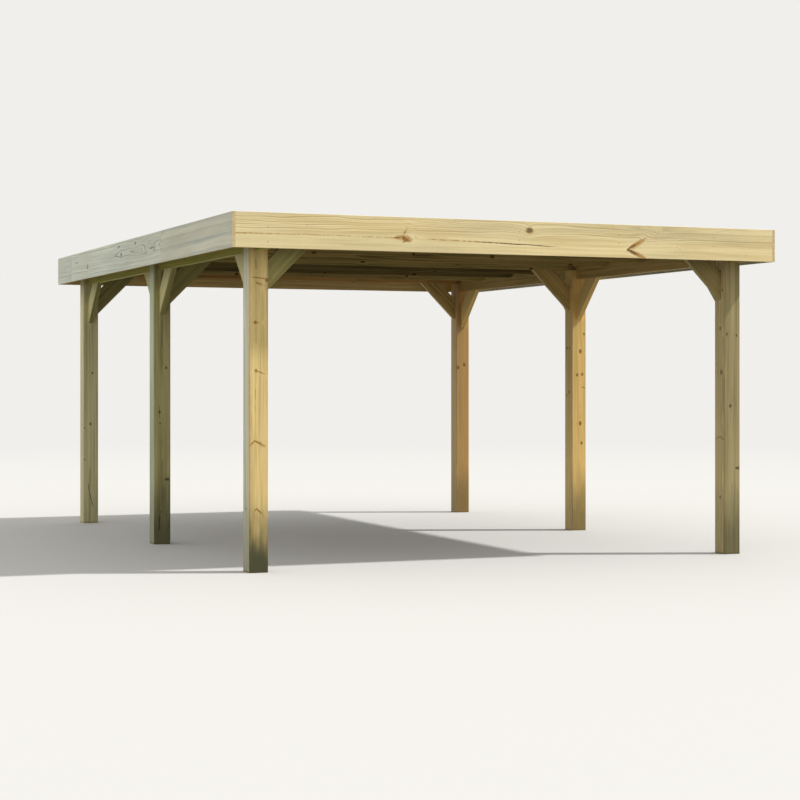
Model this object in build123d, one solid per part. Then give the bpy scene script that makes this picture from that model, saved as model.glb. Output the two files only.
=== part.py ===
"""Open timber carport: six posts, two housed side beams, nine joists, knee braces, fascia boards and a flat roof.

Millimetres, +Z up, +Y towards the rear. The origin is on the ground at the centre of the roof's outline.
"""

import os

from build123d import *

# Plan: three posts a side, with two equal bays between them
BAY_LENGTH = 2500
POST_LINE_WIDTH = 3762
FRONT_OVERHANG = 267
REAR_OVERHANG = 183
SIDE_OVERHANG = 250

# Posts
POST_SIDE = 138
POST_ARRIS_RADIUS = 8
BEAM_BOTTOM_HEIGHT = 2203

# Side beams, housed in the post heads
BEAM_THICKNESS = 44
BEAM_DEPTH = 200

# Joists, butted between the beams with their tops flush
JOISTS_PER_BAY = 4
JOIST_THICKNESS = 45
JOIST_DEPTH = 120
JOIST_END_BEVEL = 25
BOARD_ARRIS = 3

# Knee braces: 45 degree pieces, mitred to the post and to the timber above
BRACE_THICKNESS = 44
BRACE_WIDTH = 145
BRACE_REACH = 358

# Fascia frame
FASCIA_THICKNESS = 19
FASCIA_HEIGHT = 241
FASCIA_BELOW_BEAM = -5
FASCIA_FRONT_LENGTH = 1815
FASCIA_END_LENGTH = 552
FASCIA_ARRIS = 1.5

# Blocks that carry the fascia out from the beams and the end joists
END_BLOCKS_PER_SIDE = 2
END_BLOCK_SPACING = 800

# Roof deck and covering
DECK_THICKNESS = 18
COVERING_THICKNESS = 3
COVERING_UPSTAND = 20

# Levels and lines worked out from the sizes above
ROOF_LENGTH = FRONT_OVERHANG + 2 * BAY_LENGTH + REAR_OVERHANG
ROOF_WIDTH = POST_LINE_WIDTH + 2 * SIDE_OVERHANG
FRONT_FACE = -ROOF_LENGTH / 2
REAR_FACE = ROOF_LENGTH / 2
FRONT_POST_LINE = FRONT_FACE + FRONT_OVERHANG
REAR_POST_LINE = FRONT_POST_LINE + 2 * BAY_LENGTH
POST_ROWS = {"front": FRONT_POST_LINE, "middle": FRONT_POST_LINE + BAY_LENGTH, "rear": REAR_POST_LINE}
SIDES = {"left": -1, "right": 1}
POST_LINE = POST_LINE_WIDTH / 2
BEAM_TOP = BEAM_BOTTOM_HEIGHT + BEAM_DEPTH
DECK_TOP = BEAM_TOP + DECK_THICKNESS
JOIST_BOTTOM = BEAM_TOP - JOIST_DEPTH
JOIST_SPACING = BAY_LENGTH / JOISTS_PER_BAY
JOIST_LINES = [FRONT_POST_LINE + number * JOIST_SPACING for number in range(2 * JOISTS_PER_BAY + 1)]
BEAM_INNER_FACE = POST_LINE - BEAM_THICKNESS / 2
BEAM_OUTER_FACE = POST_LINE + BEAM_THICKNESS / 2
POST_OUTER_FACE = POST_LINE + POST_SIDE / 2
POST_INNER_FACE = POST_LINE - POST_SIDE / 2
FASCIA_BOTTOM = BEAM_BOTTOM_HEIGHT - FASCIA_BELOW_BEAM
INNER_HALF_WIDTH = ROOF_WIDTH / 2 - FASCIA_THICKNESS
INNER_FRONT = FRONT_FACE + FASCIA_THICKNESS
INNER_REAR = REAR_FACE - FASCIA_THICKNESS
FRONT_JOINT = FRONT_FACE + FASCIA_FRONT_LENGTH
REAR_JOINT = REAR_FACE - FASCIA_END_LENGTH
LOW = (Align.CENTER, Align.CENTER, Align.MIN)
FROM_CORNER = (Align.MIN, Align.MAX, Align.CENTER)


def block(x_range, y_range, z_range):
    """A rectangular piece between two limits along each axis."""
    sizes = [high - low for low, high in (x_range, y_range, z_range)]
    centre = [(low + high) / 2 for low, high in (x_range, y_range, z_range)]
    return Pos(*centre) * Box(*sizes)


def board(x_range, y_range, z_range, grain, arris):
    """A sawn board whose four long edges, along the grain axis, are eased."""
    plain = block(x_range, y_range, z_range)
    return chamfer(plain.edges().filter_by(grain), arris)


def on_post_line(line):
    """Whether a joist line runs over a pair of posts."""
    return any(abs(line - row_line) < POST_SIDE / 2 for row_line in POST_ROWS.values())


def post(side, row_line):
    """Square post: its slotted head holds the beam, and its shortened inner cheek carries the joist line."""
    centre = side * POST_LINE
    blank = Pos(centre, row_line) * Box(POST_SIDE, POST_SIDE, BEAM_TOP, align=LOW)
    eased = fillet(blank.edges().filter_by(Axis.Z), POST_ARRIS_RADIUS)
    across = (row_line - POST_SIDE, row_line + POST_SIDE)
    slot_sides = sorted((side * BEAM_INNER_FACE, side * BEAM_OUTER_FACE))
    slot = block(slot_sides, across, (BEAM_BOTTOM_HEIGHT, BEAM_TOP + POST_SIDE))
    cheek_sides = sorted((side * BEAM_INNER_FACE, side * (POST_INNER_FACE - POST_SIDE)))
    cheek_cut = block(cheek_sides, across, (JOIST_BOTTOM, BEAM_TOP + POST_SIDE))
    return eased - slot - cheek_cut


def side_beam(side):
    """Beam on edge over one row of posts, from the front fascia board to the rear one."""
    x_range = sorted((side * BEAM_INNER_FACE, side * BEAM_OUTER_FACE))
    return board(x_range, (INNER_FRONT, INNER_REAR), (BEAM_BOTTOM_HEIGHT, BEAM_TOP), Axis.Y, BOARD_ARRIS)


def joist(line):
    """Joist on edge between the beams: bevelled under its ends, or square where post cheeks carry it."""
    y_range = (line - JOIST_THICKNESS / 2, line + JOIST_THICKNESS / 2)
    blank = block((-BEAM_INNER_FACE, BEAM_INNER_FACE), y_range, (JOIST_BOTTOM, BEAM_TOP))
    if not on_post_line(line):
        lower_ends = blank.edges().filter_by(Axis.Y).group_by(Axis.Z)[0]
        blank = chamfer(lower_ends, JOIST_END_BEVEL)
    return chamfer(blank.edges().filter_by(Axis.X), BOARD_ARRIS)


def knee_brace(plane, top_height):
    """Eased board laid at 45 degrees and cut by the post's face and the timber above.

    In the plane, x runs out from the post's face and y runs up.
    """
    sawn = Box(2 * BRACE_REACH, BRACE_WIDTH, BRACE_THICKNESS)
    eased = chamfer(sawn.edges().filter_by(Axis.X), BOARD_ARRIS)
    middle = BRACE_REACH / 2 - BRACE_WIDTH / 2 / 2**0.5
    laid = plane * Pos(middle, top_height - middle) * Rot(0, 0, 45) * eased
    corner = plane * Pos(0, top_height) * Box(BRACE_REACH, BRACE_REACH, BRACE_THICKNESS, align=FROM_CORNER)
    return laid & corner


def cross_brace(side, row_line):
    """Brace from a post's inner face up to the joist on its line."""
    plane = Plane(origin=(side * POST_INNER_FACE, row_line, 0), x_dir=(-side, 0, 0), z_dir=(0, side, 0))
    return knee_brace(plane, JOIST_BOTTOM)


def beam_brace(side, row_line, direction):
    """Brace from a post's front or rear face up to the beam, direction -1 to the front and 1 to the rear."""
    start = (side * POST_LINE, row_line + direction * POST_SIDE / 2, 0)
    plane = Plane(origin=start, x_dir=(0, direction, 0), z_dir=(direction, 0, 0))
    return knee_brace(plane, BEAM_BOTTOM_HEIGHT)


def side_fascia(side, y_range):
    """One length of side fascia board, which covers the ends of the front and rear boards."""
    x_range = sorted((side * INNER_HALF_WIDTH, side * ROOF_WIDTH / 2))
    z_range = (FASCIA_BOTTOM, FASCIA_BOTTOM + FASCIA_HEIGHT)
    return board(x_range, y_range, z_range, Axis.Y, FASCIA_ARRIS)


def end_fascia(y_range):
    """Front or rear fascia board, fitted between the side boards."""
    z_range = (FASCIA_BOTTOM, FASCIA_BOTTOM + FASCIA_HEIGHT)
    return board((-INNER_HALF_WIDTH, INNER_HALF_WIDTH), y_range, z_range, Axis.X, FASCIA_ARRIS)


def side_block_lines():
    """The joist lines, and each joint of the side fascia that lies clear of their blocks."""
    lines = list(JOIST_LINES)
    for joint in (FRONT_JOINT, REAR_JOINT):
        if min(abs(joint - line) for line in JOIST_LINES) > JOIST_THICKNESS:
            lines.append(joint)
    return lines


def side_blocks(side):
    """Blocks from a beam, or from a post's outer cheek, out to the side fascia, also behind its joints."""
    blocks = []
    for line in side_block_lines():
        start = POST_OUTER_FACE if on_post_line(line) else BEAM_OUTER_FACE
        x_range = sorted((side * start, side * INNER_HALF_WIDTH))
        y_range = (line - JOIST_THICKNESS / 2, line + JOIST_THICKNESS / 2)
        blocks.append(block(x_range, y_range, (JOIST_BOTTOM, BEAM_TOP)))
    return Compound(children=blocks)


def end_blocks(y_range):
    """Blocks from the outermost joist to the front or rear fascia."""
    blocks = []
    for number in range(-END_BLOCKS_PER_SIDE, END_BLOCKS_PER_SIDE + 1):
        middle = number * END_BLOCK_SPACING
        x_range = (middle - JOIST_THICKNESS / 2, middle + JOIST_THICKNESS / 2)
        blocks.append(block(x_range, y_range, (JOIST_BOTTOM, BEAM_TOP)))
    return Compound(children=blocks)


def roof_layer(bottom, top, inset):
    """Flat layer inside the fascia frame, set in from the boards by the inset."""
    x_range = (-INNER_HALF_WIDTH + inset, INNER_HALF_WIDTH - inset)
    return block(x_range, (INNER_FRONT + inset, INNER_REAR - inset), (bottom, top))


def roof_covering():
    """Sheet over the deck, turned up against the inner faces of the fascia boards."""
    sheet_top = DECK_TOP + COVERING_THICKNESS
    upstand_top = sheet_top + COVERING_UPSTAND
    return roof_layer(DECK_TOP, upstand_top, 0) - roof_layer(sheet_top, upstand_top, COVERING_THICKNESS)


parts = {}
for side_name, side in SIDES.items():
    for row_name, row_line in POST_ROWS.items():
        parts[f"{side_name}_{row_name}_post"] = post(side, row_line)
        parts[f"{side_name}_{row_name}_cross_brace"] = cross_brace(side, row_line)
        if row_name != "front":
            parts[f"{side_name}_{row_name}_brace_forward"] = beam_brace(side, row_line, -1)
        if row_name != "rear":
            parts[f"{side_name}_{row_name}_brace_rearward"] = beam_brace(side, row_line, 1)
    parts[f"{side_name}_beam"] = side_beam(side)
    parts[f"{side_name}_fascia_front"] = side_fascia(side, (FRONT_FACE, FRONT_JOINT))
    parts[f"{side_name}_fascia"] = side_fascia(side, (FRONT_JOINT, REAR_JOINT))
    parts[f"{side_name}_fascia_end"] = side_fascia(side, (REAR_JOINT, REAR_FACE))
    parts[f"{side_name}_fascia_blocks"] = side_blocks(side)

for number, line in enumerate(JOIST_LINES, start=1):
    parts[f"joist_{number}"] = joist(line)

parts["front_fascia"] = end_fascia((FRONT_FACE, INNER_FRONT))
parts["rear_fascia"] = end_fascia((INNER_REAR, REAR_FACE))
parts["front_fascia_blocks"] = end_blocks((INNER_FRONT, FRONT_POST_LINE - JOIST_THICKNESS / 2))
parts["rear_fascia_blocks"] = end_blocks((REAR_POST_LINE + JOIST_THICKNESS / 2, INNER_REAR))
parts["roof_deck"] = roof_layer(BEAM_TOP, DECK_TOP, 0)
parts["roof_covering"] = roof_covering()

os.makedirs("parts", exist_ok=True)
for name, shape in parts.items():
    export_step(shape, f"parts/{name}.step")
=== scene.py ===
# %% [markdown]
# # An open timber carport
#
# The real thing is a flat-roofed shelter of treated softwood: six square posts, two side beams, nine
# joists, knee braces and a deep frame of fascia boards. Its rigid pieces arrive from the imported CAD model
# with every size settled. Such pieces could be modelled again here, but then two models would have to
# agree. So the CAD timbers stay exactly where they are, and this lesson gives them their wood, and adds
# the boards, sheet and fixings that CAD leaves plain.

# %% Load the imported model
import math
import random
from collections import namedtuple

import bmesh
import bpy
from mathutils import Euler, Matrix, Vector


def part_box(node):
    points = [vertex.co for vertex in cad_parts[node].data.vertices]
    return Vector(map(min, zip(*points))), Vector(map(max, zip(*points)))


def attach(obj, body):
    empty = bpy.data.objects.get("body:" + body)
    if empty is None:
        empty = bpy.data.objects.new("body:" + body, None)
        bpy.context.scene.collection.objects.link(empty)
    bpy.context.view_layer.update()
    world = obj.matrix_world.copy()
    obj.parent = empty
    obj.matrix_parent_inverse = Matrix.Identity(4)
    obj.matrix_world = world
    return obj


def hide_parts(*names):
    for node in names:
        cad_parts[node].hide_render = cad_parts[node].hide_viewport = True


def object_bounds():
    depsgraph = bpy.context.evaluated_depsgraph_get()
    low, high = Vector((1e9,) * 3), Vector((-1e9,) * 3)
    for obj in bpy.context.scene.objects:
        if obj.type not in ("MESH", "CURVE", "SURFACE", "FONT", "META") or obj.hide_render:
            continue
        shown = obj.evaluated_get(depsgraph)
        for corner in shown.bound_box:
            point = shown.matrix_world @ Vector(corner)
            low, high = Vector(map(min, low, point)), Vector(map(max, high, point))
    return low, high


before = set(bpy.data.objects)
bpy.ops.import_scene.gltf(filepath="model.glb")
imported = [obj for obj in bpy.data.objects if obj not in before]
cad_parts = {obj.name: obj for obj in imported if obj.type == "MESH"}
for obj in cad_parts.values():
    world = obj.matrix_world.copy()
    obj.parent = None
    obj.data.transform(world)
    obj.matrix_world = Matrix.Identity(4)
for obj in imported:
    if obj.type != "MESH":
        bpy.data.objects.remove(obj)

cad_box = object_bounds()
print("CAD pieces:", len(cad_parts), "in a box of", [round(size, 3) for size in cad_box[1] - cad_box[0]])

# %% [markdown]
# ## The camera
#
# A camera can be placed by eye or worked out from the picture. Here the lens and the place come from a
# perspective fit to the corners of posts and boards. The lens looks level, as a tall building is
# photographed, so upright posts stay parallel, and a small shift stands in for the way the picture was
# cropped.

# %% Place the camera
PICTURE_SIDE = 800
LENS_IN_PIXELS = 1922.46
LENS_CENTRE_PIXEL = (406.142, 380.755)
SENSOR_WIDTH = 36.0
EYE = (-5.9551, -15.0568, 1.3134)
TURN_TO_THE_RIGHT = 0.3909

lens = bpy.data.cameras.new("camera")
lens.sensor_width = SENSOR_WIDTH
lens.lens = SENSOR_WIDTH * LENS_IN_PIXELS / PICTURE_SIDE
lens.shift_x = (PICTURE_SIDE / 2 - LENS_CENTRE_PIXEL[0]) / PICTURE_SIDE
lens.shift_y = (LENS_CENTRE_PIXEL[1] - PICTURE_SIDE / 2) / PICTURE_SIDE
camera = bpy.data.objects.new("camera", lens)
camera.location = EYE
camera.rotation_euler = (math.pi / 2, 0, -TURN_TO_THE_RIGHT)
bpy.context.scene.collection.objects.link(camera)
bpy.context.scene.camera = camera
bpy.context.scene.view_settings.view_transform = "Standard"
print("lens:", round(lens.lens, 1), "mm, eye", EYE[2], "m above the ground")


# %% [markdown]
# ## Formulas made of nodes
#
# A procedural wood is mostly arithmetic: distances, ramps and noises. It could be wired by hand in the
# shader editor, which is quick to try and slow to read. A small class that turns Python's own operators
# into Math nodes keeps each formula on one line, so the rest of the lesson can speak of rings and knots
# rather than of sockets.

# %% Terms: sockets that can be added and multiplied
def feed(socket, value):
    """Joins a term to a socket, or sets the socket to a constant."""
    if isinstance(value, Term):
        value.tree.links.new(value.socket, socket)
    elif socket.type == "VECTOR" and not hasattr(value, "__len__"):
        socket.default_value = (value, value, value)
    else:
        socket.default_value = value


def node_of(tree, kind, inputs, output=0, **settings):
    """Adds a node with these settings and inputs, and returns one of its outputs as a term."""
    made = tree.nodes.new(f"ShaderNode{kind}")
    for name, value in settings.items():
        setattr(made, name, value)
    for label, value in inputs.items():
        feed(made.inputs[label], value)
    return Term(tree, made.outputs[output])


class Term:
    """A socket that can stand in a formula: each operator on it adds one Math or Vector Math node."""

    def __init__(self, tree, socket):
        self.tree = tree
        self.socket = socket

    def math(self, operation, *values, output=0):
        """One step of arithmetic on these values."""
        kind = "VectorMath" if self.socket.type in ("VECTOR", "RGBA") else "Math"
        return node_of(self.tree, kind, dict(enumerate(values)), output, operation=operation)

    def __add__(self, other):
        return self.math("ADD", self, other)

    def __sub__(self, other):
        return self.math("SUBTRACT", self, other)

    def __rsub__(self, other):
        return self.math("SUBTRACT", other, self)

    def __mul__(self, other):
        return self.math("MULTIPLY", self, other)

    def __truediv__(self, other):
        return self.math("DIVIDE", self, other)

    def length(self):
        return self.math("LENGTH", self, output="Value")

    def dot(self, other):
        return self.math("DOT_PRODUCT", self, other, output="Value")

    def fraction(self):
        return self.math("FRACT", self)

    def at_least(self, other):
        return self.math("MAXIMUM", self, other)

    def at_most(self, other):
        return self.math("MINIMUM", self, other)


print("terms are ready")


# %% Ramps, noises and mixes
def smooth(term, low, high):
    """0 below low, 1 above high and a soft ramp between."""
    inputs = {"Value": term, "From Min": low, "From Max": high}
    return node_of(term.tree, "MapRange", inputs, "Result", interpolation_type="SMOOTHSTEP")


def noise(place, detail=2.0, output=0):
    """Soft noise from 0 to 1 with features about one unit wide; output 1 gives three noises as a colour."""
    return node_of(place.tree, "TexNoise", {"Vector": place, "Scale": 1.0, "Detail": detail}, output)


def dice(number, output=0):
    """A random value from 0 to 1 for each whole number; output 1 gives three of them as a colour."""
    return node_of(number.tree, "TexWhiteNoise", {"W": number}, output, noise_dimensions="1D")


def parts(vector):
    """The x, y and z of a vector term."""
    split = node_of(vector.tree, "SeparateXYZ", {0: vector}).socket.node
    return [Term(vector.tree, socket) for socket in split.outputs]


def joined(tree, x, y, z):
    """A vector term made of three numbers or terms."""
    return node_of(tree, "CombineXYZ", {0: x, 1: y, 2: z})


def mix(tree, amount, first, second, blend="MIX"):
    """Two colours mixed by an amount from 0 to 1."""
    return node_of(tree, "Mix", {0: amount, 6: first, 7: second}, 2, data_type="RGBA", blend_type=blend)


def coordinate(tree, label):
    """The shaded point's place, Object, or its facing, Normal, in the object's own axes."""
    return node_of(tree, "TexCoord", {}, label)


def paint(red, green, blue):
    """A colour written as a picker shows it, 0 to 255, as the linear colour that a shader takes."""
    shares = [value / 255 for value in (red, green, blue)]
    linear = [share / 12.92 if share <= 0.04045 else ((share + 0.055) / 1.055) ** 2.4 for share in shares]
    return (*linear, 1.0)


print("pale wood in linear light:", [round(value, 3) for value in paint(232, 212, 166)])


# %% [markdown]
# ## Effects as node groups
#
# Every timber shows the same effects in other amounts. Copying the nodes into each material would work
# until one of them needed a change. A node group is built once, has named inputs and outputs, and each
# material then sets its own values. The groups give out only colours, masks and values, and each material
# keeps its own Principled shader.

# %% A function that builds a group and one that uses it
SOCKET_KINDS = {"VALUE": "NodeSocketFloat", "VECTOR": "NodeSocketVector", "RGBA": "NodeSocketColor"}


def effect(title, given, recipe):
    """A node group with named inputs and their start values, whose recipe returns its outputs."""
    tree = bpy.data.node_groups.new(title, "ShaderNodeTree")
    for label, start in given.items():
        size = len(start) if hasattr(start, "__len__") else 1
        kind = {1: "NodeSocketFloat", 3: "NodeSocketVector", 4: "NodeSocketColor"}[size]
        tree.interface.new_socket(label, in_out="INPUT", socket_type=kind).default_value = start
    entry = tree.nodes.new("NodeGroupInput")
    results = recipe(tree, {label: Term(tree, entry.outputs[label]) for label in given})
    for label, term in results.items():
        tree.interface.new_socket(label, in_out="OUTPUT", socket_type=SOCKET_KINDS[term.socket.type])
    leave = tree.nodes.new("NodeGroupOutput")
    for label, term in results.items():
        feed(leave.inputs[label], term)
    print("effect:", title, "has", len(tree.nodes), "nodes")
    return tree


def use(tree, group, values):
    """Places a group in a tree with these values and returns its outputs by name."""
    made = tree.nodes.new("ShaderNodeGroup")
    made.node_tree = group
    for label, value in values.items():
        feed(made.inputs[label], value)
    return {socket.name: Term(tree, socket) for socket in made.outputs}


# %% A new material and its bump
def new_material(title):
    """A material with its node tree and its Principled shader."""
    made = bpy.data.materials.new(title)
    made.use_nodes = True
    return made, made.node_tree, made.node_tree.nodes["Principled BSDF"]


def emboss(tree, shader, height, strength, distance):
    """Feeds a height into the shader's normal."""
    inputs = {"Strength": strength, "Distance": distance, "Height": height}
    feed(shader.inputs["Normal"], node_of(tree, "Bump", inputs))


print("materials start from", bpy.app.version_string, "defaults")


# %% [markdown]
# ## Where a point lies in its timber
#
# Grain follows the timber, not the room. One way is to unwrap every piece along its length. Wood is a
# solid, though, and its rings run through from face to face, so a better way is to turn each point back
# into the timber's own axes: x along the grain, y and z across it. The pattern is then cut open by the
# faces, as a saw does it.

# %% Effect: timber position
def timber_position(tree, given):
    def turned(vector):
        inputs = {"Vector": vector, "Rotation": given["Turn"]}
        return node_of(tree, "VectorRotate", inputs, rotation_type="EULER_XYZ", invert=True)

    place = coordinate(tree, "Object") - given["Middle"]
    return {"Position": turned(place), "Facing": turned(coordinate(tree, "Normal"))}


POSITION = effect("Timber position", {"Middle": (0, 0, 0), "Turn": (0, 0, 0)}, timber_position)


# %% [markdown]
# ## Growth rings
#
# A tree adds a pale band in spring and a dark one in summer, round a pith that wanders a little. A wave
# texture gives straight stripes and looks printed. The distance from a wandering pith gives all three
# faces of real wood at once: rings on the end, straight lines where the saw ran along a radius, and
# pointed arches where it ran beside the pith.

# %% Effect: growth rings
def growth_rings(tree, given):
    place, seed = given["Position"], given["Seed"]
    x, _, z = parts(place)
    wander = noise(joined(tree, x * 0.55 + seed, seed, 0.0), detail=1.0, output=1) - (0.5, 0.5, 0.5)
    across = (place - given["Pith"] + wander * given["Meander"]) * (0, 1, 1)
    ripple = (noise(place * (2.4, 12, 12) + seed) - 0.5) * given["Ripple"]
    grown = (across.length() + ripple) / given["Ring Width"]
    uneven = grown + noise(joined(tree, grown * 0.31 + seed, 0.0, 0.0), detail=1.0) * 1.6
    share = uneven.fraction()
    strength = dice(uneven - share + seed)
    late = smooth(share, given["Late From"], 0.92) * (1.0 - smooth(share, 0.95, 1.0))
    bold = strength * strength * 0.8 + 0.2
    calm = smooth(noise(place * (0.5, 5, 5) + seed, detail=1.0), 0.3, 0.6).at_least(given["Even"])
    lined = smooth(z, given["Plain Below"], given["Lined Above"])
    return {"Late Wood": late * bold * calm * lined, "Year": strength}


RINGS = effect(
    "Growth rings",
    {
        "Position": (0, 0, 0), "Pith": (0, 0, 0), "Seed": 0.0, "Ring Width": 0.008, "Meander": 0.05,
        "Ripple": 0.006, "Late From": 0.35, "Even": 0.2, "Plain Below": -2.0, "Lined Above": -1.0,
    },
    growth_rings,
)


# %% [markdown]
# ## Knots
#
# A knot is a branch that the trunk grew round: a cone that starts at the pith and widens outwards.
# Painting an oval would only serve one face. The cone shows as a round knot where a face cuts across it
# and as a spike where a face cuts along it. Each knot also hands on a position drawn in towards its own
# axis, and the rings and fibres are cut from that, which makes them part in front of the knot and close
# again behind it.

# %% Effect: one knot
def knot(tree, given):
    offset = given["Position"] - given["Place"]
    along = offset.dot(given["Heading"])
    side = (offset - given["Heading"] * along) / joined(tree, given["Stretch"], 1.0, 1.0)
    grown = along / given["Root"] + 1.0
    reach = (given["Size"] * grown.at_least(0.02).at_most(1.5)).at_least(0.0001)
    ratio = side.length() / reach * (given["Uneven"] * 0.7 + 0.65)  # 1 at the knot's edge
    present = smooth(grown, 0.0, 0.15)  # no branch inwards of its root
    core = (1.0 - smooth(ratio, 0.7, 1.0)) * present * (1.0 - (ratio * 3.6).fraction() * 0.25)
    rim = smooth(ratio, 0.5, 0.9) * (1.0 - smooth(ratio, 1.0, 1.5)) * present
    falling = (ratio - 0.9).at_least(0.0) * -0.75
    pull = falling.math("EXPONENT", falling) * present * 0.9
    masks = {"Core": core, "Rim": rim, "Dark": core * given["Darkness"]}
    found = {mask: value.at_least(given[f"{mask} So Far"]) for mask, value in masks.items()}
    return {"Position": given["Position"] - side * joined(tree, 0.0, pull, pull), **found}


KNOT_MASKS = ("Core", "Rim", "Dark")
SO_FAR = {f"{mask} So Far": 0.0 for mask in KNOT_MASKS}
KNOT = effect(
    "Knot",
    {
        "Position": (0, 0, 0), "Place": (0, 0, 0), "Heading": (0, 1, 0), "Size": 0.01, "Stretch": 1.3,
        "Root": 0.08, "Darkness": 0.6, "Uneven": 0.5, **SO_FAR,
    },
    knot,
)


# %% Effect: a row of random knots
ROW_REACH = 0.06  # how far out from the pith a random knot has its full size


def knot_row(tree, given):
    x, _, _ = parts(given["Position"])
    steps = x / given["Spacing"] + given["Seed"]
    cell = steps.math("FLOOR", steps)
    place, turn, size = parts(dice(cell + given["Seed"] * 5.7, output=1))
    angle = (turn - 0.5) * given["Spread"] + given["Toward"]
    heading = joined(tree, 0.0, angle.math("COSINE", angle), angle.math("SINE", angle))
    middle = (cell - given["Seed"] + place * 0.4 + 0.3) * given["Spacing"]
    base = joined(tree, middle, 0.0, 0.0) + given["Pith"] * (0, 1, 1)
    values = {label: given[label] for label in ("Position", "Uneven", *SO_FAR)}
    values.update({"Place": base + heading * ROW_REACH, "Heading": heading, "Root": ROW_REACH})
    return use(tree, KNOT, {**values, "Size": given["Largest"] * smooth(size, 0.25, 1.0)})


KNOT_ROW = effect(
    "Knot row",
    {
        "Position": (0, 0, 0), "Pith": (0, 0, 0), "Spacing": 0.4, "Toward": 0.0, "Spread": 6.28,
        "Largest": 0.014, "Uneven": 0.5, "Seed": 0.0, **SO_FAR,
    },
    knot_row,
)


# %% [markdown]
# ## Grain that swerves
#
# Over a buried branch the grain dips to a point, and where a trunk bends it sweeps off in nested arches.
# More knots would not give that. A push of the position does it, strongest at one place and fading around
# it: a small steep push up or down makes the dip, a long one folds the rings over into arches, and a push
# inwards opens nested ovals.

# %% Effect: swerving grain
def swerving_grain(tree, given):
    x, _, z = parts(given["Position"] - given["Place"])
    along = x.math("ABSOLUTE", x) / given["Length"] * -1.0
    across = z / given["Height"]
    fade = along - across * across
    share = fade.math("EXPONENT", fade)
    return {"Position": given["Position"] + given["Push"] * joined(tree, share, share, share)}


SWERVE = effect(
    "Swerving grain",
    {"Position": (0, 0, 0), "Place": (0, 0, 0), "Length": 0.05, "Height": 0.04, "Push": (0, 0, 0.02)},
    swerving_grain,
)


# %% [markdown]
# ## Fibres, lines and arrises
#
# Three quieter effects keep the wood from looking like a diagram. Fibres are noises drawn out along the
# grain. Lines are drying cracks and threads of resin, which wander a little and break up. Arrises, the
# corners of a timber, are knocked and bleached first, so a mask finds them from the distance to the
# timber's own half size. On the joists that mask takes a dark colour, painted shade on their lower
# arrises, and its end mask paints a line of shade where boards butt.

# %% Effects: fibres, line, and arris wear and painted shade
def fibres(tree, given):
    place, seed = given["Position"], given["Seed"]
    return {
        "Fine": noise(place * (7, 300, 300) + seed, detail=3.0),
        "Streak": noise(place * (1.3, 48, 48) + seed),
        "Broad": noise(place * (0.9, 6, 6) + seed),
        "Specks": smooth(noise(place * (85, 130, 130) + seed, detail=0.0), 0.78, 0.83),
    }


def line(tree, given):
    place, run = given["Position"], given["Finish"] - given["Start"]
    offset = place - given["Start"]
    share = (offset.dot(run) / run.dot(run)).at_least(0.0).at_most(1.0)
    wander = noise(place * (8, 0, 0) + given["Start"] * 7.0, output=1) - (0.5, 0.5, 0.5)
    gap = (offset + wander * given["Bend"] - run * share).length()
    uneven = noise(place * (34, 6, 6))
    taper = smooth(share, 0.0, 0.25) * (1.0 - smooth(share, 0.75, 1.0)) * 0.8 + 0.2
    width = given["Width"] * taper * (uneven * 1.2 + 0.4)
    mask = (1.0 - smooth(gap, width * 0.2, width)) * smooth(uneven, given["Gaps"], given["Gaps"] + 0.26)
    return {"Mask": mask.at_least(given["Mask So Far"])}


def arris_wear_and_shade(tree, given):
    place = given["Position"]
    along, wide, deep = parts(place.math("ABSOLUTE", place) - given["Half Size"])
    nearest = along.at_most(wide).at_least(along.at_least(wide).at_most(deep))  # the middle one of the three
    rough = (noise(place * (14, 60, 60) + given["Seed"]) - 0.5) * given["Reach"]
    reach = given["Reach"] * -1.0
    return {"Arris": smooth(nearest + rough, reach, 0.0), "End": smooth(along, reach, 0.0)}


FIBRES = effect("Fibres", {"Position": (0, 0, 0), "Seed": 0.0}, fibres)
LINE = effect(
    "Line",
    {
        "Position": (0, 0, 0), "Start": (0, 0, 0), "Finish": (1, 0, 0), "Width": 0.002, "Bend": 0.008,
        "Gaps": 0.4, "Mask So Far": 0.0,
    },
    line,
)
ARRIS_INPUTS = {"Position": (0, 0, 0), "Half Size": (1, 1, 1), "Reach": 0.004, "Seed": 0.0}
ARRIS_WEAR_AND_SHADE = effect("Worn arris", ARRIS_INPUTS, arris_wear_and_shade)


# %% [markdown]
# ## The colour of the timber
#
# Treated softwood starts pale yellow, greens a little in the treatment tank, and greys on the side that
# the weather reaches. That side layer also carries painted light: cool sky light on the faces turned to
# the left, and warm light bounced up from the ground in the yellow tones. Each of these could be a
# separate picture. Here one group lays them over each other in the order in which they happen: growth,
# knots, treatment, weathering with painted side light, then a darker foot and painted shade where boards
# butt, and hands back colour, gloss and height.

# %% Effect: timber finish
OTHER_LABELS = {"lines": "Silver Lines", "grey": "Grey Knots", "green": "Treated"}
AMOUNTS = ("streaky", "speckled")


def wood(**values):
    """Inputs of the timber finish: three numbers are a colour as a picker shows it, and one is an amount."""
    found = {}
    for word, value in values.items():
        label = word.title() if word in AMOUNTS else OTHER_LABELS.get(word, f"{word.title()} Colour")
        found[label] = paint(*value) if isinstance(value, tuple) else value
    return found


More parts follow.
